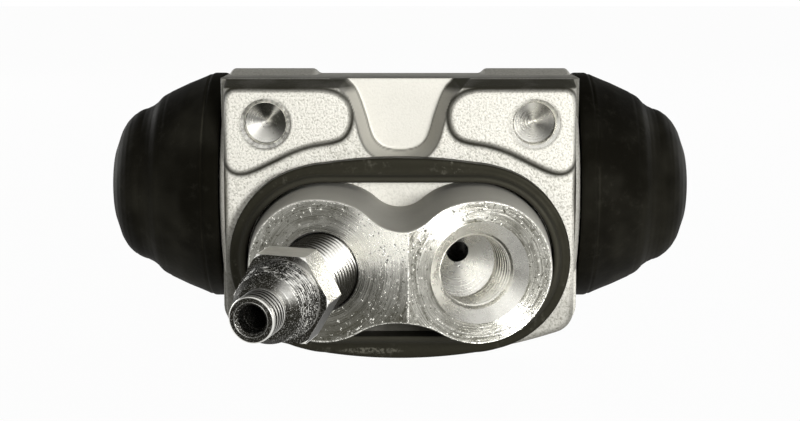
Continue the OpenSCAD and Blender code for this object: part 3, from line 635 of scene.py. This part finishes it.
ring = np.stack([hub[:, 0] + reach * seal_way[:, 0], level + 0 * outer,
                 boss_z + hub[:, 1] + reach * seal_way[:, 1]], axis=-1)
seal = put_piece("seal_ring", ring.reshape(-1, 3), grid_faces(len(section), len(outer), closed=True, flip=True),
                 seal_rubber, slot="seal_rubber", crease=50, lip=ease(0.5, 0.42, share) + 0 * outer)
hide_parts("backplate_seal")

# The bleed screw: turned from steel bar and plated, with a fine thread, a chamfered hexagon for a spanner, a
# rough-turned taper and a ringed nipple for the hose. Oil and dirt stay in its grooves, and its colour also holds
# painted shade on the sides turned from the light, painted glints and a painted highlight fan.
plated, place, feed = new_finish("plated_steel", 0.9, 0.26)
groove, torn = attribute(place, "groove"), attribute(place, "torn")
speck = place.noise(2300, 3, 0.75)
# Painted glints: bright dots where the turning is rough.
glint = place.noise(7200, 2, 0.6).step(0.545, 0.66)
dirt_shade_and_glints = (groove * (1 + torn * (speck - 0.5))).step(0.25, 0.8) * (1 - torn * glint)
worn = place.noise(700, 3, 0.6).step(0.3, 0.7)
feed(dirt_shade_and_glints.colour(worn.colour((0.8, 0.785, 0.73), (0.95, 0.94, 0.89)), (0.014, 0.013, 0.009)),
     0.2 + 0.15 * speck + 0.2 * dirt_shade_and_glints, speck * (0.08 + torn), 0.05)
hex_low, hex_high, hex_half, hex_corner, tip = 9.6, 14.3, 5.5, 6.35, 24.0
coil_pitch, coil_depth, turning_pitch, ring_start, ring_pitch = 1.0, 0.5, 0.42, 20.4, 0.75
screw_track = fine_profile([(4.5, -3.0), (4.5, 9.1), (4.7, hex_low), (hex_corner, hex_low), (hex_corner, hex_high),
                            (5.2, hex_high), (5.1, 14.4), (4.35, 19.2), (3.55, 20.0), (2.92, 20.15), (2.9, 23.75),
                            (2.8, tip), (2.1, tip), (1.75, 23.6), (1.7, 22.0), (1.6, 21.9), (1.6, 16.0), (0.02, 15.5)],
                           0.08, 0.09)
theta = np.linspace(0, 2 * np.pi, 192, endpoint=False)
r, s = screw_track[:, :1], screw_track[:, 1:]
outside = np.arange(len(screw_track))[:, None] <= np.flatnonzero(screw_track[:, 1] > tip - 0.01)[-1]
in_hex = outside & (s > hex_low - 0.01) & (s < hex_high + 0.01) & (r > 4.75)
flat = hex_half / np.cos(theta % (np.pi / 3) - np.pi / 6)
chamfer = 5.95 + np.minimum(s - hex_low, hex_high - s) * 1.73
hexed = np.minimum(np.minimum(flat, chamfer), r)
threaded = outside * (s < 9.4) * (1 - ease(8.6, 9.3, s))
rough = outside * ease(14.4, 14.7, s) * (1 - ease(19.0, 19.3, s))
ringed = outside * ease(ring_start, 20.7, s) * (1 - ease(23.5, 23.7, s))
coil = thread(s, theta, coil_pitch, coil_depth)
turning = thread(s, theta, turning_pitch, 1.0)
tip_ring = 0.5 + 0.5 * np.cos(2 * np.pi * (s - ring_start) / ring_pitch)
chatter = np.random.default_rng(7).normal(0, 1, (len(screw_track), len(theta)))
chatter = sum(np.roll(chatter, k, axis=1) for k in range(7)) / 3
screw_r = np.where(in_hex, hexed, r + coil * threaded + rough * (0.09 * turning - 0.09 + 0.025 * chatter)
                   + ringed * (0.14 * tip_ring - 0.14))
end_face = np.abs(s - tip) < 0.02
shoulder = outside * (ease(14.2, 14.3, s) * (1 - ease(14.3, 14.6, s)) + ease(19.0, 19.3, s) * (1 - ease(20.1, 20.4, s)))
# Painted shade: darker outside a painted highlight fan round the axis, a shade of its own on each hexagon flat, and a
# dark bore.
unlit = 1 - fans(theta, (42, 26, 1.0))
unlit_tip = 1 - fans(theta, (48, 32, 1.0), (215, 30, 0.9))
flat_shade = np.array([0.0, 0.44, 0.3, 0.3, 0.3, 0.72])[(theta // (np.pi / 3)).astype(int)]
grooves = (threaded * (0.8 * unlit + 0.5 * ease(0.95, 0.4, coil / coil_depth))
           + rough * (0.35 + 0.65 * unlit + 0.4 * (0.5 - turning) + 0.3 * chatter)
           + ringed * (0.35 * unlit + 0.85 - 0.75 * tip_ring) + (~outside) * 1.0
           + in_hex * (shoulder < 0.1) * flat_shade + shoulder * (0.55 + 0.3 * unlit)
           + end_face * 0.75 * ease(2.12, 2.22, r) * ease(2.75, 2.65, r)
           + 0.42 * outside * ease(23.4, 23.7, s) * unlit_tip)
tears = 0.9 * rough + 0.2 * shoulder + 0.15 * end_face + 0.4 * (~outside) + 0.05
screw = put_piece("bleed_screw_turned", round_axis(bleed_face, bleed_axis, screw_r, s, theta),
                  grid_faces(len(screw_track), len(theta), closed=True), plated, "bleeder", "plated_steel", 28,
                  groove=np.clip(grooves, 0, 1), torn=np.clip(tears, 0, 1) + 0 * theta)
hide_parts("bleed_screw")

# The dust boots: moulded rubber bells, one bead in the spigot's groove and one on the piston's nose. Handling leaves
# them dull black with a little dust on their rings.
boot_rubber, place, feed = new_finish("boot_rubber", 0.0, 0.6, 0.045, (1, 0.93, 0.65))
dust = place.noise(700, 4, 0.7).step(0.5, 0.85) * place.noise(110, 2).step(0.35, 0.7)
greying_and_sheen = (attribute(place, "rubbed") + 0.3) * place.noise(75, 3, 0.6).step(0.4, 0.7)
feed((dust * 0.3 + greying_and_sheen * 0.7).colour((0.0035, 0.0032, 0.0022), (0.06, 0.057, 0.044)),
     0.55 + 0.2 * place.noise(240, 3) + 0.1 * dust, place.noise(1900, 3) * 0.7 + place.noise(420, 2), 0.04)
bell = [(16.3, 25.3), (16.5, 25.6), (16.5, 27.3), (16.25, 27.6), (16.3, 27.9), (16.05, 28.4), (15.55, 29.6),
        (15.0, 31.0), (14.35, 32.4), (13.7, 33.8), (13.05, 34.9), (12.3, 35.6), (11.65, 36.4), (11.3, 37.2),
        (10.95, 38.2), (10.4, 39.1), (9.5, 40.0), (8.4, 40.7), (6.9, 41.25), (5.6, 41.75), (5.05, 41.8), (5.05, 41.0),
        (4.4, 40.6), (4.4, 39.5), (5.6, 39.4), (8.9, 38.9), (9.2, 37.0), (11.4, 34.2), (13.85, 29.0), (13.85, 27.35),
        (13.15, 27.3), (13.15, 26.2), (13.85, 26.15), (13.85, 25.35), (16.3, 25.3)]
boot_track = fine_profile(bell, 0.3, 0.3)
theta = np.linspace(0, 2 * np.pi, 200, endpoint=False)
r, s = boot_track[:, :1], boot_track[:, 1:]
on_skin = np.arange(len(boot_track))[:, None] < np.argmax(boot_track[:, 1])
folds = sum(hump(s, at, 0.22) for at in (33.95, 35.75, 37.25, 38.9))
crests = sum(hump(s, at, 0.35) for at in (34.4, 36.2, 37.7, 39.3))
swell = 0.05 * np.sin(3 * theta + 0.5) + 0.04 * np.sin(5 * theta + 1.0 + 0.3 * s)
boot_r = r - on_skin * 0.04 * folds + on_skin * swell * ease(28, 31, s) * (1 - ease(38, 40, s))
# Painted sheen: a bright line at the step by the spigot, a broad bright band on the cone and faint bright fold crests.
rubbed = on_skin * (0.5 * hump(s, 27.75, 0.12) + 0.25 * hump(s, 31.0, 1.3) + 0.08 * crests)
for label, way in (("left", -1.0), ("right", 1.0)):
    boot = put_piece(label + "_boot", round_axis(bore_origin, (way, 0, 0), boot_r, s, theta),
                     grid_faces(len(boot_track), len(theta), closed=True), boot_rubber, None, "boot_rubber", 60,
                     rubbed=np.clip(rubbed, 0, 1) + 0 * theta)
    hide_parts(label + "_dust_boot")
    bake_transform(boot)

# The pistons, cups, spring seats and spring: turned aluminium, moulded rubber, pressed and plated steel, drawn wire.
# Their CAD solids are right, so they only get their finish; all but the noses are out of sight in the bore.
turned_alloy, place, feed = new_finish("turned_alloy", 0.85, 0.3)
lines = place.node("CombineXYZ", {}, {0: place.part(0) * TO_MM}).noise(6, 3, 0.6)
feed(lines.colour((0.5, 0.5, 0.48), (0.8, 0.8, 0.78)), 0.22 + 0.2 * lines, lines, 0.03)
cup_rubber, place, feed = new_finish("cup_rubber", 0.0, 0.4)
feed(place.noise(500, 3).colour((0.012, 0.012, 0.011), (0.03, 0.03, 0.028)), 0.35 + 0.2 * place.noise(900, 2))
pressed, place, feed = new_finish("pressed_steel", 0.9, 0.3)
feed(place.noise(350, 3).colour((0.42, 0.38, 0.26), (0.62, 0.58, 0.44)), 0.25 + 0.2 * place.noise(900, 2))
wire, place, feed = new_finish("spring_wire", 0.9, 0.35)
feed(place.noise(900, 3).colour((0.2, 0.2, 0.2), (0.5, 0.5, 0.49)), 0.3 + 0.2 * place.noise(1500, 2))
for node, finish in (("piston", turned_alloy), ("cup_seal", cup_rubber), ("spring_seat", pressed)):
    for label in ("left_", "right_"):
        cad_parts[label + node].material_slots[0].material = finish
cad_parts["cup_spring"].material_slots[0].material = wire

# The studio: a pale floor under the part, a white surround that the metal also reflects, one small lamp to the right of
# the camera and two broad ones for the sides and the back.


def seen_rays(tree):
    """1 for rays from the camera, also by a mirror or through glass, and 0 for the rays that carry light."""
    rays = tree.nodes.new("ShaderNodeLightPath").outputs
    first, mirror, glass = (Value(tree, rays["Is " + kind + " Ray"]) for kind in ("Camera", "Glossy", "Transmission"))
    return first.most(mirror).most(glass)


def mix_shaders(tree, share, lit, shown, output):
    """Sends two shaders to an output node: lit where share is 0 and shown where it is 1."""
    mix = tree.nodes.new("ShaderNodeMixShader")
    for socket, source in zip(mix.inputs, (share.socket, lit.outputs[0], shown.outputs[0])):
        tree.links.new(source, socket)
    tree.links.new(mix.outputs[0], tree.nodes.new(output).inputs[0])


floor_z, floor_half = -0.0331, 4
floor_paint = bpy.data.materials.new("pale_floor")
floor_paint.use_nodes = True
tree = floor_paint.node_tree
tree.nodes.clear()
paint, glow = tree.nodes.new("ShaderNodeBsdfDiffuse"), tree.nodes.new("ShaderNodeEmission")
paint.inputs["Color"].default_value = (0.86, 0.86, 0.86, 1)
glow.inputs["Color"].default_value = (1, 1, 1, 1)
mix_shaders(tree, seen_rays(tree) * 0.97, paint, glow, "ShaderNodeOutputMaterial")
sheet = bpy.data.meshes.new("floor")
sheet.from_pydata([(a * floor_half, b * floor_half, floor_z) for a, b in ((-1, -1), (1, -1), (1, 1), (-1, 1))], [],
                  [(0, 1, 2, 3)])
sheet.materials.append(floor_paint)
floor = bpy.data.objects.new("floor", sheet)
bpy.context.scene.collection.objects.link(floor)

world = bpy.data.worlds.new("studio")
bpy.context.scene.world = world
world.use_nodes = True
tree = world.node_tree
tree.nodes.clear()
ambient, backdrop = (tree.nodes.new("ShaderNodeBackground") for _ in range(2))
ambient.inputs["Color"].default_value = (1.0, 0.985, 0.94, 1)
ambient.inputs["Strength"].default_value = 0.16
gaze = Value(tree, tree.nodes.new("ShaderNodeTexCoord").outputs["Generated"])
dark_above = gaze.part(2).step(0.14, 0.4) * gaze.part(1).step(-0.2, 0.3)
tree.links.new(dark_above.colour((1, 1, 1), (0.05, 0.05, 0.05)).socket, backdrop.inputs["Color"])
mix_shaders(tree, seen_rays(tree), ambient, backdrop, "ShaderNodeOutputWorld")

aim = Vector((0, 0, -0.012))
for name, spot, size, power in (("key", (0.24, -0.6, 0.06), 0.14, 2.95), ("left_back", (-0.55, 0.55, 0.07), 0.4, 2.6),
                                ("right_back", (0.6, 0.5, 0.1), 0.4, 2.2)):
    lamp = bpy.data.lights.new(name, "AREA")
    lamp.size, lamp.energy = size, power
    holder = bpy.data.objects.new(name, lamp)
    holder.location = spot
    holder.rotation_euler = (aim - Vector(spot)).to_track_quat("-Z", "Y").to_euler()
    bpy.context.scene.collection.objects.link(holder)

# The camera: where the photograph's stood, eight degrees above the pads' normal, with a long lens. Its focal length is
# given in pixels of a frame as wide as the photograph.
pitch, distance = np.radians(8), 0.22
sensor, focal_pixels, frame_pixels = 36, 1595, 800
eye = bpy.data.cameras.new("camera")
eye.sensor_width, eye.lens = sensor, focal_pixels / frame_pixels * sensor
eye.clip_start = 0.01
camera = bpy.data.objects.new("camera", eye)
camera.location = aim + Vector((0, -distance * np.cos(pitch), distance * np.sin(pitch)))
camera.rotation_euler = (aim - camera.location).to_track_quat("-Z", "Y").to_euler()
bpy.context.scene.collection.objects.link(camera)
bpy.context.scene.camera = camera
bpy.context.scene.view_settings.view_transform = "Standard"
